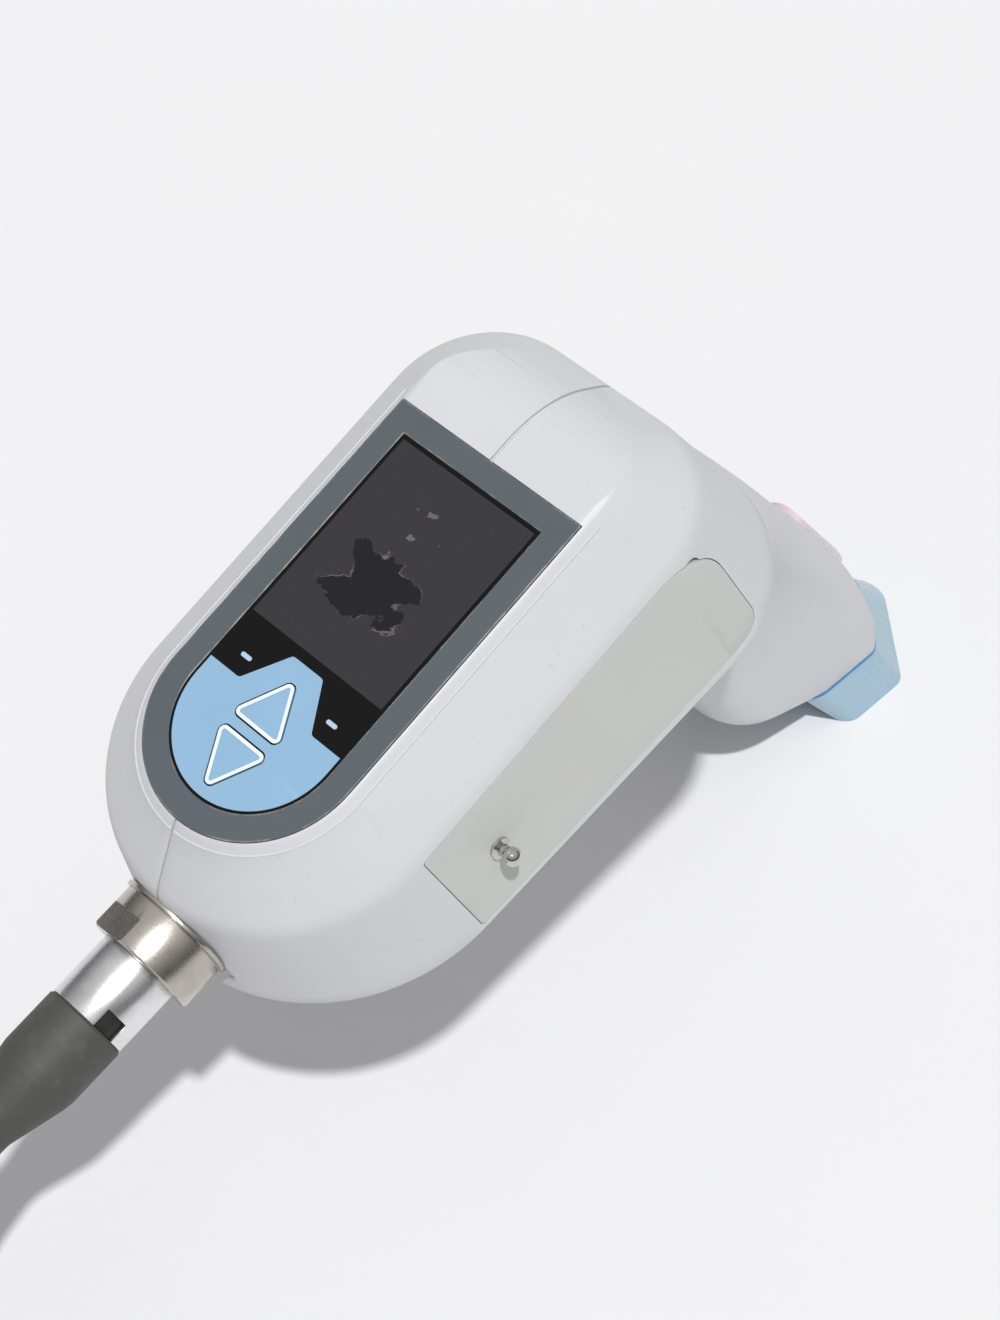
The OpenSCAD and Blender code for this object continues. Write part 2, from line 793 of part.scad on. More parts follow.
module plan_ring(row, inset) {
  front = row[0];
  translate([0, front - inset]) polygon(arrow_plan(row[4] - inset, row[5],
    front - row[2] - 2 * inset, row[6], row[7], row[8], 6));
}

module button_slab(grow, from_z, to_z) {
  reach = button_len / 2 - button_w / 2;
  translate([0, 0, from_z]) linear_extrude(to_z - from_z) {
    square([button_w + 2 * grow, 2 * reach], center = true);
    for (s = [-1, 1]) translate([0, s * reach]) circle(r = button_w / 2 + grow);
  }
}

// Outline of the nose window's seat, pointed like the nose around it.
module window_seat() {
  polygon([[-9.5, -19.5], [9.5, -19.5], [9.5, -4.2], [2, -0.5], [-2, -0.5], [-9.5, -4.2]]);
}

module snout_housing() {
  color([0.83, 0.83, 0.85]) difference() {
    union() {
      difference() {
        loft(snout_outer());
        loft(snout_inner());
      }
      difference() {
        loft(spigot(2.6, 5.5, 11.5));
        loft(spigot(4, 5, 12));
      }
    }
    translate([0, 0, 8]) linear_extrude(9) window_seat();
    button_frame() button_slab(0.3, -8, 8);
  }
}

// Clear pane that closes the nose above the tip.
module nose_window() {
  color([0.8, 0.88, 0.92]) translate([0, 0, 10.9]) linear_extrude(1.4) offset(delta = -0.1) window_seat();
}

module tip_seal() {
  color([0.2, 0.5, 0.8]) translate([0, 0, seam_z]) linear_extrude(seal_t) difference() {
    plan_ring(SNOUT[0], -0.12);
    plan_ring(SNOUT[0], 2.55);
  }
}

// Removable mouthpiece: flared, open right through, flat at the mouth.
module tip_cover() {
  sections = [for (row = TIP) snout_section(row, 0, snout_steps)];
  top = TIP[1];
  bore = [for (row = [[18.4, -0.5, -18.4, -0.5, 21.2, 18.5, 7, 4, 4],
    [top[0], seam_z + 1, top[2], seam_z + 1, top[4], top[5], top[6], top[7], top[8]]])
    snout_section(row, 2.2, snout_steps)];
  color([0.6, 0.78, 0.88]) difference() {
    loft(sections);
    loft(bore);
  }
}

// Capture button: a crowned bar with end tabs behind the wall and a pin for the switch.
module capture_button() {
  color([0.86, 0.78, 0.8]) button_frame() {
    intersection() {
      button_slab(0, -5.2, 3);
      rotate([90, 0, 0]) translate([0, -9, 0]) cylinder(r = 10.8, h = 60, center = true);
    }
    translate([-3.2, -15, -6.3]) cube([6.4, 30, 1.2]);
    translate([0, 0, -6.4]) cylinder(r = 1.4, h = 1.3);
  }
}

module switch_board() {
  color([0.08, 0.3, 0.18]) button_frame() translate([-9, -7, switch_z - 0.8]) cube([18, 10, 0.8]);
}

module button_switch() {
  color([0.15, 0.15, 0.16]) button_frame() translate([0, 0, switch_z]) {
    translate([-3, -3, 0]) cube([6, 6, 2.4]);
    translate([0, 0, 2.3]) cylinder(r = 1.2, h = 1.3);
  }
}

// Return spring, round the switch plunger.
module button_spring() {
  color([0.7, 0.7, 0.72]) button_frame() translate([0, 0, switch_z + 2.42]) difference() {
    cylinder(r = 2.6, h = 2.62);
    translate([0, 0, -1]) cylinder(r = 1.9, h = 6);
  }
}

module lens_barrel() {
  r = lens_barrel_d / 2;
  color([0.1, 0.1, 0.11]) optic_frame() rotate_extrude() polygon([[r - 1.2, 14], [r, 14], [r, 46],
    [r - 1.2, 46], [r - 1.2, 41.5], [r - 2, 41.5], [r - 2, 39.5], [r - 1.2, 39.5], [r - 1.2, 19],
    [r - 2, 19], [r - 2, 17.5], [r - 1.2, 17.5]]);
}

module front_lens() {
  r = lens_barrel_d / 2 - 1.25;
  color([0.8, 0.88, 0.95]) optic_frame() rotate_extrude() polygon([[0, 17.4], [0, 14.6],
    [0.5 * r, 14.8], [0.8 * r, 15.15], [r, 15.6], [r, 17.4]]);
}

module rear_lens() {
  r = lens_barrel_d / 2 - 1.25;
  color([0.8, 0.88, 0.95]) optic_frame() rotate_extrude() polygon([[0, 41.6], [r, 41.6],
    [r, 42.6], [0.8 * r, 43.05], [0.5 * r, 43.4], [0, 43.6]]);
}

module sensor_board() {
  color([0.08, 0.3, 0.18]) optic_frame() translate([-10.5, -9, 50]) cube([21, 18, 1.2]);
}

module image_sensor() {
  color([0.2, 0.22, 0.26]) optic_frame() translate([-5, -4, 48.9]) cube([10, 8, 1.1]);
}

module illumination_board() {
  color([0.85, 0.85, 0.82]) optic_frame() translate([0, 0, 13]) difference() {
    cylinder(r = 9.5, h = 0.95);
    translate([0, 0, -1]) cylinder(r = 4.6, h = 3);
  }
}

module illumination_leds() {
  color([0.95, 0.9, 0.6]) optic_frame() for (i = [0:7]) rotate([0, 0, 45 * i])
    translate([6, -1, 12.2]) cube([2.4, 2, 0.8]);
}

// Clamp round the lens barrel, with side arms and two posts for the sensor board.
module optics_bracket() {
  r = lens_barrel_d / 2;
  color([0.6, 0.6, 0.62]) optic_frame() {
    difference() {
      union() {
        translate([0, 0, 28]) cylinder(r = r + 2.6, h = 5);
        translate([-12.6, -2.5, 28]) cube([25.2, 5, 5]);
      }
      translate([0, 0, 20]) cylinder(r = r, h = 30);
    }
    for (s = [-1, 1]) translate([s * 9.2 - 1, -2.5, 32]) cube([2, 5, 18]);
  }
}

// Ribbon from the sensor board up to the main board, drawn from the side.
module flex_cable() {
  line = [[-47.3, 51.7], [-57, 62], [-69, 80], [-88, 98], [-96.6, 104.4], [-97.2, 106.7]];
  last = len(line) - 1;
  side = [for (i = [0:last])
    let (t = unit(line[min(i + 1, last)] - line[max(i - 1, 0)])) 0.15 * [t[1], -t[0]]];
  color([0.75, 0.5, 0.2]) rotate([90, 0, 90]) linear_extrude(10, center = true) polygon(concat(
    [for (i = [0:last]) line[i] + side[i]],
    [for (i = [last:-1:0]) line[i] - side[i]]
  ));
}

// Wires from the receptacle to the main board's rear socket.
module wire_harness() {
  line = [[-73.4, -25.2], [-70, -24.4], [-66.5, -22.2], [-64.1, -20], [-63.8, -17.8]];
  color([0.7, 0.2, 0.15]) body_frame() for (x = [-3.6, -1.2, 1.2, 3.6])
    tube([for (p = line) [x, p[0], p[1]]], 0.7, 8);
}

// ---------- Nodes ----------

housing_left();
housing_right();
housing_screws();
display_bezel();
display_window();
keypad_sheet();
key_up();
key_down();
led_light_pipes();
lcd_panel();
lcd_backlight();
keypad_board();
key_domes();
status_led_chips();
display_chassis();
chassis_screws();
main_board();
main_chips();
board_sockets();
board_screws();
label_plate();
dock_stud();
stud_nut();
receptacle();
receptacle_nut();
connector_washer();
connector_collar();
plug_barrel();
plug_insert();
plug_pins();
plug_collet();
cable_boot();
cable_cord();
cable_coil();
coil_tie();
station_boot();
station_plug();
station_pins();
snout_housing();
capture_button();
button_spring();
button_switch();
switch_board();
optics_bracket();
lens_barrel();
front_lens();
rear_lens();
sensor_board();
image_sensor();
illumination_board();
illumination_leds();
nose_window();
tip_seal();
tip_cover();
flex_cable();
wire_harness();
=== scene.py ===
"""Looks of the hand-held dental camera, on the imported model. MM turns its millimetres into metres."""

import math

import bmesh
import bpy
from mathutils import Matrix, Vector


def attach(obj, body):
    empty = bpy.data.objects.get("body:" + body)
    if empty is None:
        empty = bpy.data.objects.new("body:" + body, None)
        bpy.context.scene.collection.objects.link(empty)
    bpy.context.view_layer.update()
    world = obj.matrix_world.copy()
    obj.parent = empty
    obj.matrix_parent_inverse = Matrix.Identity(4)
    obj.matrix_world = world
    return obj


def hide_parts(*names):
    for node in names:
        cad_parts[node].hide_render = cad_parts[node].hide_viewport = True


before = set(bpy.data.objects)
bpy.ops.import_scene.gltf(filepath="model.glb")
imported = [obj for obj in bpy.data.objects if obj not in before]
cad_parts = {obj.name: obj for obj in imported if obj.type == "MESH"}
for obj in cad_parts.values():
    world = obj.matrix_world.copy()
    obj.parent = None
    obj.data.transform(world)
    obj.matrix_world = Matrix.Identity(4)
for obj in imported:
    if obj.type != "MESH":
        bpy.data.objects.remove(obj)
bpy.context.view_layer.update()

MM = 0.001

# The display's plane: its tilt about X and the point where its front edge's middle stands.
BODY_TILT = math.radians(22.4)
BODY_ORIGIN = Vector((0, -100, 124)) * MM


# ---------- Camera ----------

def make_camera():
    data = bpy.data.cameras.new("camera")
    data.sensor_width = 36
    data.sensor_fit = "HORIZONTAL"
    data.lens = 107
    data.clip_start = 0.05
    data.clip_end = 20
    cam = bpy.data.objects.new("camera", data)
    cam.location = (0.2378, -0.3384, 0.4746)
    cam.rotation_euler = (math.radians(40.01), 0, math.radians(44.66))
    bpy.context.collection.objects.link(cam)
    bpy.context.scene.camera = cam


# ---------- Shader helpers ----------

class Shader:
    """A Principled material and short calls that add nodes to it."""

    def __init__(self, name, base, rough=0.5, metal=0.0, **sockets):
        self.mat = bpy.data.materials.new(name)
        self.mat.use_nodes = True
        self.tree = self.mat.node_tree
        self.bsdf = self.tree.nodes["Principled BSDF"]
        self.bsdf.inputs["Base Color"].default_value = (*base, 1)
        self.bsdf.inputs["Roughness"].default_value = rough
        self.bsdf.inputs["Metallic"].default_value = metal
        for socket, value in sockets.items():
            self.bsdf.inputs[socket.replace("_", " ")].default_value = value
        self.coords = self.node("ShaderNodeTexCoord").outputs["Object"]

    def node(self, kind, **settings):
        made = self.tree.nodes.new(kind)
        for name, value in settings.items():
            setattr(made, name, value)
        return made

    def join(self, value, socket):
        if isinstance(value, bpy.types.NodeSocket):
            self.tree.links.new(value, socket)
        elif socket.type == "RGBA":
            socket.default_value = (*value, 1)
        else:
            socket.default_value = value

    def math(self, kind, a, b=0.0, c=0.0, clamp=False):
        made = self.node("ShaderNodeMath", operation=kind, use_clamp=clamp)
        for value, socket in zip((a, b, c), made.inputs):
            self.join(value, socket)
        return made.outputs[0]

    def ramp(self, value, low, high):
        """0 up to low and 1 from high on, smooth between."""
        made = self.node("ShaderNodeMapRange", interpolation_type="SMOOTHSTEP")
        self.join(value, made.inputs["Value"])
        made.inputs["From Min"].default_value = low
        made.inputs["From Max"].default_value = high
        return made.outputs[0]

    def mapping(self, scale=(1, 1, 1), turn=(0, 0, 0), source=None):
        made = self.node("ShaderNodeMapping")
        self.join(source or self.coords, made.inputs["Vector"])
        made.inputs["Scale"].default_value = scale
        made.inputs["Rotation"].default_value = turn
        return made.outputs[0]

    def noise(self, scale, detail=2.0, rough=0.5, where=None, distort=0.0):
        made = self.node("ShaderNodeTexNoise")
        self.join(where or self.coords, made.inputs["Vector"])
        made.inputs["Scale"].default_value = scale
        made.inputs["Detail"].default_value = detail
        made.inputs["Roughness"].default_value = rough
        made.inputs["Distortion"].default_value = distort
        return made.outputs[0]

    def mix(self, amount, a, b):
        made = self.node("ShaderNodeMix", data_type="RGBA")
        self.join(amount, made.inputs["Factor"])
        self.join(a, made.inputs["A"])
        self.join(b, made.inputs["B"])
        return made.outputs["Result"]

    def colour(self, value):
        self.join(value, self.bsdf.inputs["Base Color"])

    def rough(self, value, low, high):
        """Roughness that follows a 0 to 1 value."""
        spread = self.math("MULTIPLY_ADD", value, high - low, low)
        self.join(spread, self.bsdf.inputs["Roughness"])

    def bump(self, height, depth, strength=1.0):
        made = self.node("ShaderNodeBump")
        made.inputs["Strength"].default_value = strength
        made.inputs["Distance"].default_value = depth
        self.join(height, made.inputs["Height"])
        self.join(made.outputs[0], self.bsdf.inputs["Normal"])

    def body_xyz(self):
        """Coordinates in the display's own frame, in millimetres."""
        move = self.node("ShaderNodeVectorMath", operation="SUBTRACT")
        self.join(self.coords, move.inputs[0])
        move.inputs[1].default_value = BODY_ORIGIN
        turn = self.mapping((1000, 1000, 1000), (-BODY_TILT, 0, 0), move.outputs[0])
        return self.split(turn)

    def split(self, vector):
        made = self.node("ShaderNodeSeparateXYZ")
        self.join(vector, made.inputs[0])
        return made.outputs

    def oval(self, x, y, middle, radii):
        """Distance from the middle of an oval, 1 on its edge."""
        squares = []
        for value, centre, radius in zip((x, y), middle, radii):
            part = self.math("DIVIDE", self.math("SUBTRACT", value, centre), radius)
            squares.append(self.math("POWER", part, 2))
        return self.math("SQRT", self.math("ADD", *squares))

    def bevelled(self, radius):
        """1 at the object's sharp edges and 0 away from them."""
        rounded = self.node("ShaderNodeBevel", samples=4)
        rounded.inputs["Radius"].default_value = radius
        plain = self.node("ShaderNodeNewGeometry").outputs["Normal"]
        dot = self.node("ShaderNodeVectorMath", operation="DOT_PRODUCT")
        self.join(rounded.outputs[0], dot.inputs[0])
        self.join(plain, dot.inputs[1])
        return self.ramp(self.math("SUBTRACT", 1, dot.outputs["Value"]), 0.02, 0.2)


# ---------- Materials ----------

def moulded_white(name):
    """Satin ABS with a fine spark-eroded grain, rubbed and lightly soiled."""
    s = Shader(name, (0.63, 0.635, 0.66), 0.42)
    cloud = s.noise(35, 3)
    specks = s.ramp(s.noise(900, 1), 0.70, 0.78)
    tone = s.mix(cloud, (0.625, 0.628, 0.655), (0.66, 0.663, 0.688))
    s.colour(s.mix(s.math("MULTIPLY", specks, 0.25), tone, (0.45, 0.43, 0.44)))
    s.rough(cloud, 0.36, 0.50)
    s.bump(s.noise(4200, 2), 0.00002, 0.5)
    return s.mat


def bezel_paint():
    """Slate paint, with a bright rim painted along its sharp edges in patches: a painted edge highlight."""
    s = Shader("bezel_paint", (0.088, 0.107, 0.119), 0.42)
    patches = s.noise(160, 4, 0.65)
    # Painted highlight: a bright tan rim along the sharp edges, broken into patches.
    painted_edge_highlight = s.math("MULTIPLY", s.bevelled(0.0005), s.ramp(patches, 0.42, 0.62))
    paint = s.mix(s.noise(60, 3), (0.083, 0.10, 0.112), (0.098, 0.118, 0.131))
    s.colour(s.mix(painted_edge_highlight, paint, (0.62, 0.56, 0.44)))
    s.rough(s.noise(300, 3), 0.34, 0.48)
    s.bump(s.noise(3500, 2), 0.000015, 0.5)
    return s.mat


# The screen's picture area in the display's frame: half width, then its two ends, in millimetres.
SCREEN_HALF = 15.05
SCREEN_ENDS = (-43.13, -5.57)
SCREEN_EDGE = 0.07


def window_glass():
    """Black printed pane; the unlit screen behind it is a little lighter and bears dried splashes."""
    ink = (0.004, 0.0035, 0.004)
    s = Shader("window_glass", ink, 0.09)
    s.bsdf.inputs["Specular IOR Level"].default_value = 0.2
    x, y, _ = s.body_xyz()
    low, high = SCREEN_ENDS
    across = s.ramp(s.math("ABSOLUTE", x), SCREEN_HALF + SCREEN_EDGE, SCREEN_HALF)
    lower_end = s.ramp(y, low - SCREEN_EDGE, low)
    upper_end = s.ramp(y, high + SCREEN_EDGE, high)
    screen = s.math("MULTIPLY", across, s.math("MULTIPLY", lower_end, upper_end))

    flow = s.noise(95, 5, 0.6, distort=0.8)
    away = s.math("MULTIPLY", s.oval(x, y, (-0.5, -28), (8, 8)), -0.62)
    level = s.math("ADD", s.math("MULTIPLY", flow, 1.9), away)
    pool = s.math("MULTIPLY", s.ramp(level, 0.40, 0.44), screen)
    rim = s.math("SUBTRACT", s.ramp(level, 0.37, 0.40), s.ramp(level, 0.41, 0.46))
    broken = s.ramp(s.noise(260, 3), 0.46, 0.68)
    near = s.ramp(s.oval(x, y, (-1, -17), (6, 8)), 1, 0.4)
    drops = s.math("MULTIPLY", s.ramp(s.noise(620, 1), 0.66, 0.72), near)
    dried = s.math("ADD", s.math("MULTIPLY", rim, broken), drops, clamp=True)
    marks = s.math("MULTIPLY", dried, screen)
    dust = s.math("MULTIPLY", s.ramp(s.noise(2400, 1), 0.74, 0.80), screen)

    grey = s.mix(pool, (0.037, 0.035, 0.040), (0.014, 0.013, 0.015))
    dirty = s.mix(s.math("MULTIPLY", dust, 0.12), s.mix(screen, ink, grey), (0.3, 0.3, 0.3))
    s.colour(s.mix(s.math("MULTIPLY", marks, 0.32), dirty, (0.35, 0.33, 0.32)))
    smears = s.math("MULTIPLY", s.noise(40, 4), 0.25)
    s.rough(s.math("ADD", s.math("MULTIPLY", marks, 0.8), smears), 0.06, 0.4)
    return s.mat


def membrane(name):
    """Light blue printed film with a fine matt texture."""
    s = Shader(name, (0.262, 0.455, 0.64), 0.5)
    s.colour(s.mix(s.noise(90, 4), (0.25, 0.44, 0.625), (0.275, 0.47, 0.655)))
    s.rough(s.noise(500, 2), 0.42, 0.56)
    s.bump(s.noise(5000, 2), 0.00001, 0.6)
    return s.mat


def metal(name, base, low, high, scale, depth=0.00001):
    """Metal with fine tool marks along one direction and dull patches."""
    s = Shader(name, base, low, 1.0)
    lines = s.noise(1, 3, 0.6, where=s.mapping(scale))
    patches = s.noise(120, 4)
    dark = tuple(0.72 * v for v in base)
    s.colour(s.mix(s.ramp(patches, 0.35, 0.75), base, dark))
    s.rough(lines, low, high)
    s.bump(lines, depth, 0.6)
    return s.mat


def rubber(name, base, light):
    """Soft moulded rubber or cable jacket, scuffed."""
    s = Shader(name, base, 0.6)
    scuff = s.ramp(s.noise(220, 5, 0.65), 0.5, 0.75)
    s.colour(s.mix(s.math("MULTIPLY", scuff, 0.55), base, light))
    s.rough(s.noise(160, 4), 0.48, 0.72)
    s.bump(s.noise(2600, 3), 0.00003, 0.7)
    return s.mat


def plastic(name, base, low, high):
    """Plain moulded plastic with a fine grain."""
    s = Shader(name, base, low)
    shade = tuple(0.88 * v for v in base)
    s.colour(s.mix(s.noise(80, 3), shade, base))
    s.rough(s.noise(400, 3), low, high)
    s.bump(s.noise(3000, 2), 0.00002, 0.5)
    return s.mat


def label_coat():
    """Warm grey textured plate with faint rub marks and a stain or two."""
    s = Shader("label_coat", (0.56, 0.575, 0.55), 0.55)
    stain = s.ramp(s.noise(110, 3), 0.66, 0.74)
    tone = s.mix(s.noise(70, 4), (0.545, 0.56, 0.535), (0.60, 0.61, 0.585))
    s.colour(s.mix(s.math("MULTIPLY", stain, 0.3), tone, (0.62, 0.55, 0.38)))
    s.rough(s.noise(250, 4), 0.45, 0.65)
    s.bump(s.noise(2600, 2), 0.00003, 0.7)
    return s.mat


def tip_plastic():
    """Light blue, slightly translucent mouthpiece."""
    s = Shader("tip_plastic", (0.32, 0.48, 0.60), 0.28, Coat_Weight=0.3, Coat_Roughness=0.1)
    s.bsdf.inputs["Subsurface Weight"].default_value = 0.35
    s.bsdf.inputs["Subsurface Scale"].default_value = 0.004
    s.colour(s.mix(s.noise(60, 3), (0.30, 0.46, 0.58), (0.38, 0.54, 0.65)))
    s.rough(s.noise(300, 3), 0.22, 0.36)
    s.bump(s.noise(2500, 2), 0.00001, 0.4)
    return s.mat


def clear_glass(name, tint):
    """Lens or pane glass, faintly smeared."""
    s = Shader(name, tint, 0.04, IOR=1.5)
    s.bsdf.inputs["Transmission Weight"].default_value = 0.9
    s.rough(s.noise(60, 4), 0.02, 0.08)
    return s.mat


def board():
    """Green solder mask with copper tracks showing through as paler lines."""
    s = Shader("solder_mask", (0.02, 0.13, 0.06), 0.3)
    cells = s.node("ShaderNodeTexVoronoi", feature="DISTANCE_TO_EDGE")
    s.join(s.coords, cells.inputs["Vector"])
    cells.inputs["Scale"].default_value = 300
    tracks = s.ramp(cells.outputs["Distance"], 0.06, 0.03)
    s.colour(s.mix(tracks, (0.02, 0.12, 0.055), (0.05, 0.24, 0.11)))
    s.bump(tracks, 0.00003, 0.5)
    return s.mat


# ---------- Lofted shells of the snout and the mouthpiece ----------

CORNER_STEPS = 9
ROW_STEPS = 6
TIP_STEPS = 4
SHARP_ANGLE = math.radians(32)
ROUND_ANGLE = math.radians(35)

# Rows as in the CAD, in millimetres: front y and z, rear y and z, half width,
# start of the sides behind the point, then the point, side and rear radii.
SNOUT = [
    (7.5, 10.8, -25.5, 10.8, 16.7, 12.5, 6, 4, 5),
    (5.5, 13, -35, 13.7, 16.6, 10.5, 7, 5, 6),
    (2.5, 17, -46, 17.5, 16.3, 7.5, 9, 6, 8),
    (-2.5, 24.5, -52, 25, 15.8, 4.5, 12, 7, 9),
    (-9, 35, -57, 34, 15.2, 2.2, 20, 8, 9),
    (-17, 47, -61.5, 44, 15.2, 1.5, 30, 9, 9),
    (-25.6, 58.7, -67, 54, 16.4, 1.5, 30, 10, 9),
    (-34, 70.5, -74, 64, 19.5, 1.8, 30, 12, 10),
    (-43, 82.5, -83, 73, 25, 2, 30, 15, 10),
    (-48.6, 89.5, -90, 78, 30, 2.2, 30, 18, 10),
    (-54.6, 95.1, -96.2, 80.3, 34.8, 2.5, 30, 22, 8),
]
# The flange above the body's rim.
FLANGE = [
    (-57.4, 95.5, -96.8, 81.4, 34.2, 4, 30, 20, 8),
    (-61.5, 100.9, -98.4, 83.5, 33, 18, 36, 10, 8),
    (-68.5, 108, -99.5, 90, 29.5, 14, 30, 10, 8),
    (-74, 111.5, -100.5, 95, 25, 10, 26, 8, 8),
]
SNOUT_WALL = 2.0
RIM_WALL = 4.8
# The spigot for the tip: how far its outside and its bore lie inside the snout's outline,
# its two heights, and how much less far back it reaches at the lower one.
SPIGOT_INSET = 2.6
BORE_INSET = 4.0
SPIGOT_LOW = 5.5
SPIGOT_HIGH = 11.5
SPIGOT_LEAN = 3.4
# How far a cutting tool stands out past what it cuts.
OVERCUT = 0.5
TOP_OVERCUT = 3
# The mouthpiece, from its rim to the seam, and its wall.
TIP = [
    (18, 0, -18, 0, 21, 18.5, 7, 4, 4),
    (7.5, 9.7, -25.5, 9.7, 16.7, 12.5, 6, 4, 5),
]
TIP_WALL = 2.2
# The button's slot, and the seat of the window that closes the nose.
BUTTON_PLACE = Matrix.Translation(Vector((0, -11.4, 37.5)) * MM) @ Matrix.Rotation(math.radians(-56), 4, "X")
SLOT_HALF = 6.8
SLOT_REACH = 7
SLOT_DEPTH = 8
WINDOW_SEAT = ((-9.5, -19.5), (9.5, -19.5), (9.5, -4.2), (2, -0.5), (-2, -0.5), (-9.5, -4.2))
SEAT_HEIGHTS = (8, 17)


def rounded(before, at, after, radius, steps):
    """Arc that rounds the corner at `at`, in the plane."""
    u = (before - at).normalized()
    v = (after - at).normalized()
    half = math.acos(max(-1, min(1, u.dot(v)))) / 2
    centre = at + (u + v).normalized() * radius / math.sin(half)
    start = at + u * radius / math.tan(half) - centre
    end = at + v * radius / math.tan(half) - centre
    turn = start.angle_signed(end)
    spin = [Matrix.Rotation(-turn * i / steps, 2) for i in range(steps + 1)]
    return [centre + m @ start for m in spin]


def arrow_plan(half, back, depth, r_point, r_side, r_rear, steps):
    """Arrow-shaped outline with rounded corners, its point at the origin."""
    corners = [
        (Vector((half, -back)), r_side),
        (Vector((0, 0)), r_point),
        (Vector((-half, -back)), r_side),
        (Vector((-half, -depth)), r_rear),
        (Vector((half, -depth)), r_rear),
    ]
    plan = []
    for i, (at, radius) in enumerate(corners):
        before = corners[i - 1][0]
        after = corners[(i + 1) % 5][0]
        plan += rounded(before, at, after, radius, steps)
    return plan


def section(row, inset, steps):
    """One ring of points; the section is square to the line from front to rear."""
    front = Vector(row[0:2])
    rear = Vector(row[2:4])
    along = (rear - front).normalized()
    depth = (rear - front).length - 2 * inset
    plan = arrow_plan(row[4] - inset, row[5], depth, *row[6:9], steps)
    ring = []
    for p in plan:
        yz = front + along * (inset - p.y)
        ring.append(Vector((p.x, yz.x, yz.y)) * MM)
    return ring


def eased_rows(rows, steps):
    """Catmull-Rom rows between the given ones."""
    made = []
    for i in range(len(rows) - 1):
        p0 = rows[max(i - 1, 0)]
        p1, p2 = rows[i], rows[i + 1]
        p3 = rows[min(i + 2, len(rows) - 1)]
        for step in range(steps):
            t = step / steps
            made.append([
                0.5 * (2 * b + (c - a) * t + (2 * a - 5 * b + 4 * c - d) * t * t
                       + (3 * b - a - 3 * c + d) * t ** 3)
                for a, b, c, d in zip(p0, p1, p2, p3)
            ])
    return made + [list(rows[-1])]


def solid_from_rings(name, rings):
    """Closed mesh object through rings of equal point counts."""
    bm = bmesh.new()
    layers = [[bm.verts.new(p) for p in ring] for ring in rings]
    n = len(rings[0])
    for low, high in zip(layers, layers[1:]):
        for i in range(n):
            j = (i + 1) % n
            bm.faces.new((low[i], low[j], high[j], high[i]))
    bm.faces.new(layers[0])
    bm.faces.new(layers[-1])
    bmesh.ops.recalc_face_normals(bm, faces=bm.faces)
    mesh = bpy.data.meshes.new(name)
    bm.to_mesh(mesh)
    bm.free()
    made = bpy.data.objects.new(name, mesh)
    bpy.context.collection.objects.link(made)
    return made


def carve(target, tool, operation="DIFFERENCE"):
    """Applies a boolean and removes the tool."""
    cut = target.modifiers.new("cut", "BOOLEAN")
    cut.operation = operation
    cut.solver = "EXACT"
    cut.object = tool
    bpy.context.view_layer.update()
    graph = bpy.context.evaluated_depsgraph_get()
    old = target.data
    target.data = bpy.data.meshes.new_from_object(target.evaluated_get(graph))
    target.modifiers.clear()
    bpy.data.meshes.remove(old)
    spent = tool.data
    bpy.data.objects.remove(tool)
    bpy.data.meshes.remove(spent)


def stadium_ring(half_width, reach, z, place):
    """Rounded slot outline at height z of a placed frame, in millimetres."""
    steps = 12
    ring = []
    for end in (1, -1):
        for i in range(steps + 1):
            a = math.radians(180 * i / steps)
            x = half_width * math.cos(a) * end
            y = (reach + half_width * math.sin(a)) * end
            ring.append(place @ (Vector((x, y, z)) * MM))
    return ring


def smooth(obj):
    """Smooth shading, except where two faces meet at more than SHARP_ANGLE."""
    obj.data.shade_smooth()
    obj.data.set_sharp_from_angle(angle=SHARP_ANGLE)


def soften(obj, width, segments=3):
    """Rounds the edges where two faces meet at more than ROUND_ANGLE."""
    edge = obj.modifiers.new("edge", "BEVEL")
    edge.width = width
    edge.segments = segments
    edge.limit_method = "ANGLE"
    edge.angle_limit = ROUND_ANGLE
    edge.harden_normals = False


def rings(rows, inset):
    return [section(row, inset, CORNER_STEPS) for row in rows]


def make_snout(material):
    skin = solid_from_rings("snout_skin", rings(eased_rows(SNOUT, ROW_STEPS) + FLANGE, 0))
    raised = list(FLANGE[-1])
    raised[1] += TOP_OVERCUT
    raised[3] += TOP_OVERCUT
    cavity = rings(eased_rows(SNOUT[1:-1], ROW_STEPS), SNOUT_WALL)
    cavity += rings([SNOUT[-1]], RIM_WALL)
    cavity += rings(FLANGE + [raised], SNOUT_WALL)
    carve(skin, solid_from_rings("hollow", cavity))
    root = SNOUT[0]
    low = [root[0], SPIGOT_LOW, root[2] + SPIGOT_LEAN, SPIGOT_LOW, *root[4:]]
    high = [root[0], SPIGOT_HIGH, root[2], SPIGOT_HIGH, *root[4:]]
    spigot = solid_from_rings("spigot", rings((low, high), SPIGOT_INSET))
    carve(spigot, solid_from_rings("bore", rings(extended(low, high), BORE_INSET)))
    carve(skin, spigot, "UNION")
    seat = [[Vector((x, y, z)) * MM for x, y in WINDOW_SEAT] for z in SEAT_HEIGHTS]
    carve(skin, solid_from_rings("seat", seat))
    slot = [stadium_ring(SLOT_HALF, SLOT_REACH, z, BUTTON_PLACE) for z in (-SLOT_DEPTH, SLOT_DEPTH)]
    carve(skin, solid_from_rings("slot", slot))
    soften(skin, 0.25 * MM)
    smooth(skin)
    skin.data.materials.append(material)
    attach(skin, "handpiece")
    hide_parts("snout_housing")


def extended(low, high):
    """The same two rows, a little lower and higher, so that a bore cuts right through."""
    below = [low[0], low[1] - OVERCUT, low[2], low[3] - OVERCUT, *low[4:]]
    above = [high[0], high[1] + OVERCUT, high[2], high[3] + OVERCUT, *high[4:]]
    return below, above


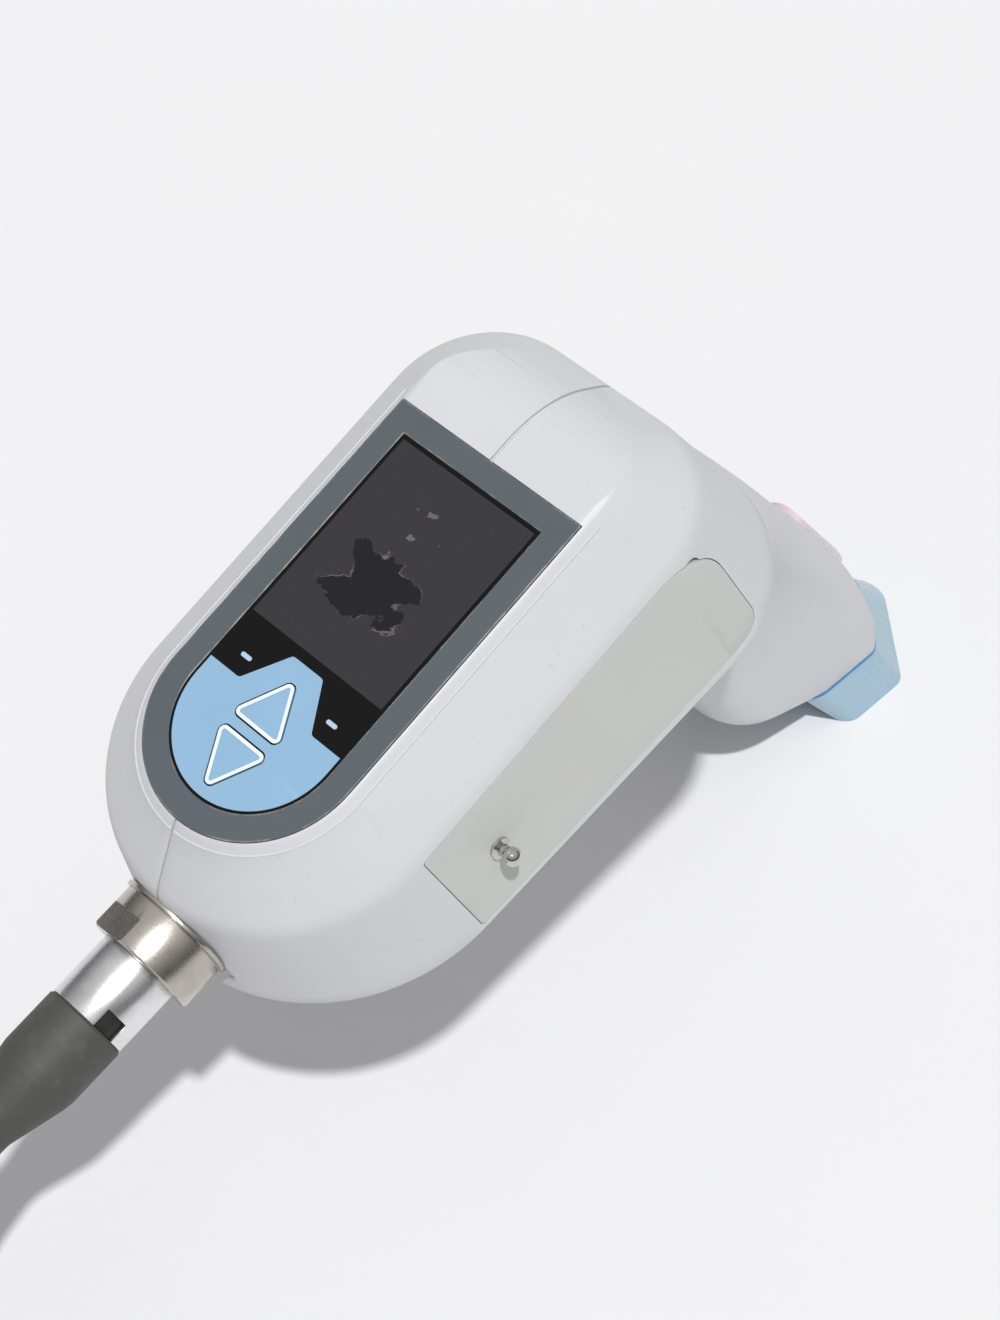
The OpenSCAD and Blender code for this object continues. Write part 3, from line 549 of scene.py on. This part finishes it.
def make_tip(material):
    rows = [[a + (b - a) * t / TIP_STEPS for a, b in zip(*TIP)] for t in range(TIP_STEPS + 1)]
    tip = solid_from_rings("tip_shell", rings(rows, 0))
    low = [18.4, -0.5, -18.4, -0.5, 21.2, 18.5, 7, 4, 4]
    high = list(TIP[1])
    high[1] = high[3] = 11
    carve(tip, solid_from_rings("bore", rings((low, high), TIP_WALL)))
    soften(tip, 0.5 * MM, 4)
    smooth(tip)
    tip.data.materials.append(material)
    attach(tip, "tip")
    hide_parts("tip_cover")


# ---------- Cable ----------

# Where the cable lies from inside its boot to the top of the coil, as in the CAD.
ROUTE = [
    (0, -211.9, 55.8),
    (0.8, -222.6, 51.8),
    (3.4, -232.4, 46.6),
    (7.7, -241, 40.7),
    (13.2, -248.8, 34.6),
    (19.2, -256.3, 28.6),
    (25.1, -264.4, 23.1),
    (30.3, -273.4, 18.6),
    (34.2, -283.6, 15.4),
    (36.3, -294.6, 13.6),
]
CABLE_D = 8 * MM
# The coil, in millimetres: its outer radius, the step from turn to turn and its two layers' heights.
COIL_CENTRE = Vector((-20, -306))
COIL_START = 57.0
COIL_PITCH = 8.2
COIL_TURNS = 6.5
COIL_TOP_TURNS = 3
COIL_LOW = 4.9
COIL_HIGH = 13.1
# Share of a turn over which the cable drops to the floor, and how far it bows inward there.
SINK_TURNS = 0.3
SINK_BOW = 0.4
STEPS_PER_TURN = 24
# From the coil's end to the far plug: distance ahead and height.
TAIL = [(8, 5.2), (17, 6.3), (26, 7.6), (35, 8), (40, 8)]


def coil_point(turn):
    """Point after so many turns: inward on the upper layer, down, then outward on the floor."""
    inner = COIL_START - COIL_TOP_TURNS * COIL_PITCH
    sink = min(max((turn - COIL_TOP_TURNS) / SINK_TURNS, 0), 1)
    drop = (1 - math.cos(math.pi * sink)) / 2
    if turn < COIL_TOP_TURNS:
        radius = COIL_START - COIL_PITCH * turn
    else:
        outward = max(turn - COIL_TOP_TURNS - SINK_TURNS, 0)
        radius = inner + COIL_PITCH * outward - SINK_BOW * math.sin(math.pi * sink)
    angle = -2 * math.pi * turn
    x = COIL_CENTRE.x + radius * math.cos(angle)
    y = COIL_CENTRE.y + radius * math.sin(angle)
    return Vector((x, y, COIL_HIGH + (COIL_LOW - COIL_HIGH) * drop))


def cable_points():
    points = [Vector(p) for p in ROUTE]
    points += [coil_point(i / STEPS_PER_TURN) for i in range(int(COIL_TURNS * STEPS_PER_TURN) + 1)]
    last = points[-1]
    points += [Vector((last.x, last.y + ahead, z)) for ahead, z in TAIL]
    return [p * MM for p in points]


def make_cable(material):
    data = bpy.data.curves.new("cable", "CURVE")
    data.dimensions = "3D"
    data.bevel_depth = CABLE_D / 2
    data.bevel_resolution = 6
    data.resolution_u = 6
    data.use_fill_caps = True
    spline = data.splines.new("NURBS")
    points = cable_points()
    spline.points.add(len(points) - 1)
    for point, place in zip(spline.points, points):
        point.co = (*place, 1)
    spline.order_u = 3
    spline.use_endpoint_u = True
    data.materials.append(material)
    cable = bpy.data.objects.new("cable", data)
    bpy.context.collection.objects.link(cable)
    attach(cable, "handpiece")
    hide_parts("cable_cord", "cable_coil")


# ---------- Printed outlines of the arrow keys ----------

KEY_HALF = 5.65
KEY_HEIGHT = 10.4
KEY_CORNER = 1
KEY_STROKE = 0.62
PRINT_LOW = 0.02
PRINT_HIGH = 0.16
KEY_BASES = {"key_up": -58.2, "key_down": -60.5}
BODY_PLACE = Matrix.Translation(BODY_ORIGIN) @ Matrix.Rotation(BODY_TILT, 4, "X")


def key_ring(base, way, grow, z):
    """Rounded triangle of a key, grown outward, at height z over the display, in metres."""
    apex_half = math.atan(KEY_HALF / KEY_HEIGHT)
    reach = KEY_HALF + grow / math.tan((math.pi / 2 - apex_half) / 2)
    left = Vector((-reach, base - way * grow))
    right = Vector((reach, base - way * grow))
    apex = Vector((0, base + way * (KEY_HEIGHT + grow / math.sin(apex_half))))
    ring = []
    for before, at, after in ((left, apex, right), (apex, right, left), (right, left, apex)):
        ring += rounded(before, at, after, KEY_CORNER + grow, 6)
    return [BODY_PLACE @ (Vector((p.x, p.y, z)) * MM) for p in ring]


def make_key_print(name, body, material):
    """Raised white frame printed on a key, a closed ring of rectangular section."""
    base = KEY_BASES[name]
    way = 1 if name == "key_up" else -1
    loops = [
        key_ring(base, way, 0, PRINT_LOW),
        key_ring(base, way, 0, PRINT_HIGH),
        key_ring(base, way, -KEY_STROKE, PRINT_HIGH),
        key_ring(base, way, -KEY_STROKE, PRINT_LOW),
    ]
    bm = bmesh.new()
    layers = [[bm.verts.new(p) for p in loop] for loop in loops]
    n = len(loops[0])
    for low, high in zip(layers, layers[1:] + layers[:1]):
        for i in range(n):
            j = (i + 1) % n
            bm.faces.new((low[i], low[j], high[j], high[i]))
    bmesh.ops.recalc_face_normals(bm, faces=bm.faces)
    mesh = bpy.data.meshes.new(name + "_print")
    bm.to_mesh(mesh)
    bm.free()
    mesh.materials.append(material)
    made = bpy.data.objects.new(name + "_print", mesh)
    bpy.context.collection.objects.link(made)
    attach(made, body)


# ---------- Materials on the CAD nodes ----------

# Radius of the moulded or turned edges of the nodes that show, in millimetres.
EDGE_RADII = {
    "housing_left": 0.2,
    "housing_right": 0.2,
    "display_bezel": 0.1,
    "label_plate": 0.12,
    "connector_collar": 0.12,
    "connector_washer": 0.08,
    "plug_barrel": 0.12,
    "keypad_sheet": 0.03,
}
WELD_DISTANCE = 0.002 * MM


def finish_nodes(paint):
    """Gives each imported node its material, and the edges that show a small radius."""
    for node, material in paint.items():
        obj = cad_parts[node]
        obj.data.materials.clear()
        obj.data.materials.append(material)
        if node in EDGE_RADII:
            weld = obj.modifiers.new("weld", "WELD")
            weld.merge_threshold = WELD_DISTANCE
            soften(obj, EDGE_RADII[node] * MM, 2)


# ---------- Floor and light ----------

FLOOR_HALF = 12
SUN_DIRECTION = Vector((0.300, -0.222, 0.927))
SUN_ENERGY = 2.3
SUN_ANGLE = math.radians(2.5)
SKY_STRENGTH = 0.58
# The sky's brightness at two heights, as the Z of the direction: dim low down, white overhead.
SKY_LOW = (0.1, (0.12, 0.12, 0.13, 1))
SKY_HIGH = (0.8, (1, 1, 1, 1))


def make_floor():
    bm = bmesh.new()
    bmesh.ops.create_grid(bm, x_segments=4, y_segments=4, size=FLOOR_HALF)
    mesh = bpy.data.meshes.new("floor")
    bm.to_mesh(mesh)
    bm.free()
    floor = bpy.data.objects.new("floor", mesh)
    bpy.context.collection.objects.link(floor)
    s = Shader("floor_paper", (0.78, 0.78, 0.79), 0.75)
    s.colour(s.mix(s.noise(6, 4), (0.77, 0.77, 0.785), (0.80, 0.80, 0.805)))
    mesh.materials.append(s.mat)


def make_lights():
    key = bpy.data.lights.new("key", "SUN")
    key.energy = SUN_ENERGY
    key.angle = SUN_ANGLE
    lamp = bpy.data.objects.new("key", key)
    lamp.rotation_euler = SUN_DIRECTION.to_track_quat("Z", "Y").to_euler()
    bpy.context.collection.objects.link(lamp)
    world = bpy.data.worlds.new("studio")
    world.use_nodes = True
    tree = world.node_tree
    back = tree.nodes["Background"]
    back.inputs["Strength"].default_value = SKY_STRENGTH
    coords = tree.nodes.new("ShaderNodeTexCoord")
    split = tree.nodes.new("ShaderNodeSeparateXYZ")
    ramp = tree.nodes.new("ShaderNodeValToRGB")
    tree.links.new(coords.outputs["Generated"], split.inputs[0])
    tree.links.new(split.outputs["Z"], ramp.inputs[0])
    tree.links.new(ramp.outputs["Color"], back.inputs["Color"])
    for stop, (position, colour) in zip(ramp.color_ramp.elements, (SKY_LOW, SKY_HIGH)):
        stop.position = position
        stop.color = colour
    bpy.context.scene.world = world
    bpy.context.scene.view_settings.view_transform = "Standard"


# ---------- The whole scene: the camera and the cable first ----------

make_camera()
make_cable(rubber("cable_jacket", (0.062, 0.063, 0.055), (0.11, 0.11, 0.095)))
make_lights()
make_floor()

white = moulded_white("housing_abs")
bezel = bezel_paint()
film = membrane("key_film")
green = board()
steel = metal("screw_steel", (0.45, 0.45, 0.46), 0.22, 0.4, (3000, 3000, 3000))
brass = metal("turned_brass", (0.62, 0.47, 0.22), 0.25, 0.4, (2500, 2500, 2500))
nickel = metal("collar_nickel", (0.58, 0.54, 0.49), 0.16, 0.34, (400, 6000, 6000), depth=0.00002)
chrome = metal("satin_chrome", (0.82, 0.82, 0.83), 0.2, 0.38, (500, 5000, 5000), depth=0.00001)
polished = metal("polished_chrome", (0.62, 0.61, 0.60), 0.03, 0.08, (600, 600, 600), depth=0.000005)
gold = metal("gold_plate", (0.80, 0.58, 0.24), 0.15, 0.25, (900, 900, 900))
anodised = metal("black_anodised", (0.03, 0.03, 0.033), 0.3, 0.45, (800, 5000, 5000))
bracket = metal("milled_aluminium", (0.55, 0.55, 0.57), 0.25, 0.4, (600, 5000, 5000))
boot = rubber("boot_rubber", (0.066, 0.067, 0.058), (0.125, 0.123, 0.106))
seal = rubber("seal_rubber", (0.07, 0.26, 0.55), (0.13, 0.34, 0.62))
glass = clear_glass("lens_glass", (0.85, 0.92, 0.97))

make_snout(white)
make_tip(tip_plastic())
for node, body in (("key_up", "up_key"), ("key_down", "down_key")):
    make_key_print(node, body, plastic("key_ink_" + node, (0.86, 0.93, 0.96), 0.35, 0.45))
finish_nodes({
    "housing_left": white,
    "housing_right": white,
    "housing_screws": steel,
    "display_bezel": bezel,
    "display_window": window_glass(),
    "keypad_sheet": film,
    "key_up": film,
    "key_down": film,
    "led_light_pipes": plastic("light_pipe", (0.45, 0.62, 0.80), 0.1, 0.2),
    "lcd_panel": plastic("lcd_cell", (0.03, 0.03, 0.035), 0.08, 0.15),
    "lcd_backlight": plastic("diffuser", (0.75, 0.75, 0.75), 0.3, 0.5),
    "keypad_board": green,
    "key_domes": steel,
    "status_led_chips": plastic("phosphor", (0.75, 0.68, 0.30), 0.2, 0.4),
    "display_chassis": plastic("chassis_plastic", (0.05, 0.05, 0.055), 0.4, 0.6),
    "chassis_screws": steel,
    "main_board": green,
    "main_chips": plastic("chip_epoxy", (0.02, 0.02, 0.022), 0.4, 0.6),
    "board_sockets": plastic("socket_nylon", (0.72, 0.67, 0.52), 0.35, 0.5),
    "board_screws": steel,
    "label_plate": label_coat(),
    "dock_stud": polished,
    "stud_nut": brass,
    "receptacle": chrome,
    "receptacle_nut": brass,
    "connector_washer": nickel,
    "connector_collar": nickel,
    "plug_barrel": chrome,
    "plug_insert": plastic("insulator", (0.72, 0.68, 0.56), 0.2, 0.35),
    "plug_pins": gold,
    "plug_collet": rubber("collet_dirt", (0.012, 0.01, 0.009), (0.05, 0.042, 0.035)),
    "cable_boot": boot,
    "coil_tie": rubber("hook_and_loop", (0.012, 0.012, 0.013), (0.035, 0.035, 0.037)),
    "station_boot": boot,
    "station_plug": chrome,
    "station_pins": gold,
    "capture_button": plastic("button_rose", (0.68, 0.57, 0.61), 0.2, 0.35),
    "button_spring": steel,
    "button_switch": plastic("switch_case", (0.02, 0.02, 0.022), 0.3, 0.5),
    "switch_board": green,
    "optics_bracket": bracket,
    "lens_barrel": anodised,
    "front_lens": glass,
    "rear_lens": glass,
    "sensor_board": green,
    "image_sensor": plastic("sensor_die", (0.05, 0.06, 0.09), 0.05, 0.12),
    "illumination_board": plastic("white_mask", (0.72, 0.72, 0.70), 0.3, 0.45),
    "illumination_leds": plastic("led_phosphor", (0.78, 0.70, 0.32), 0.2, 0.4),
    "nose_window": glass,
    "tip_seal": seal,
    "flex_cable": plastic("polyimide", (0.48, 0.22, 0.05), 0.2, 0.35),
    "wire_harness": rubber("wire_pvc", (0.42, 0.04, 0.03), (0.55, 0.10, 0.08)),
})
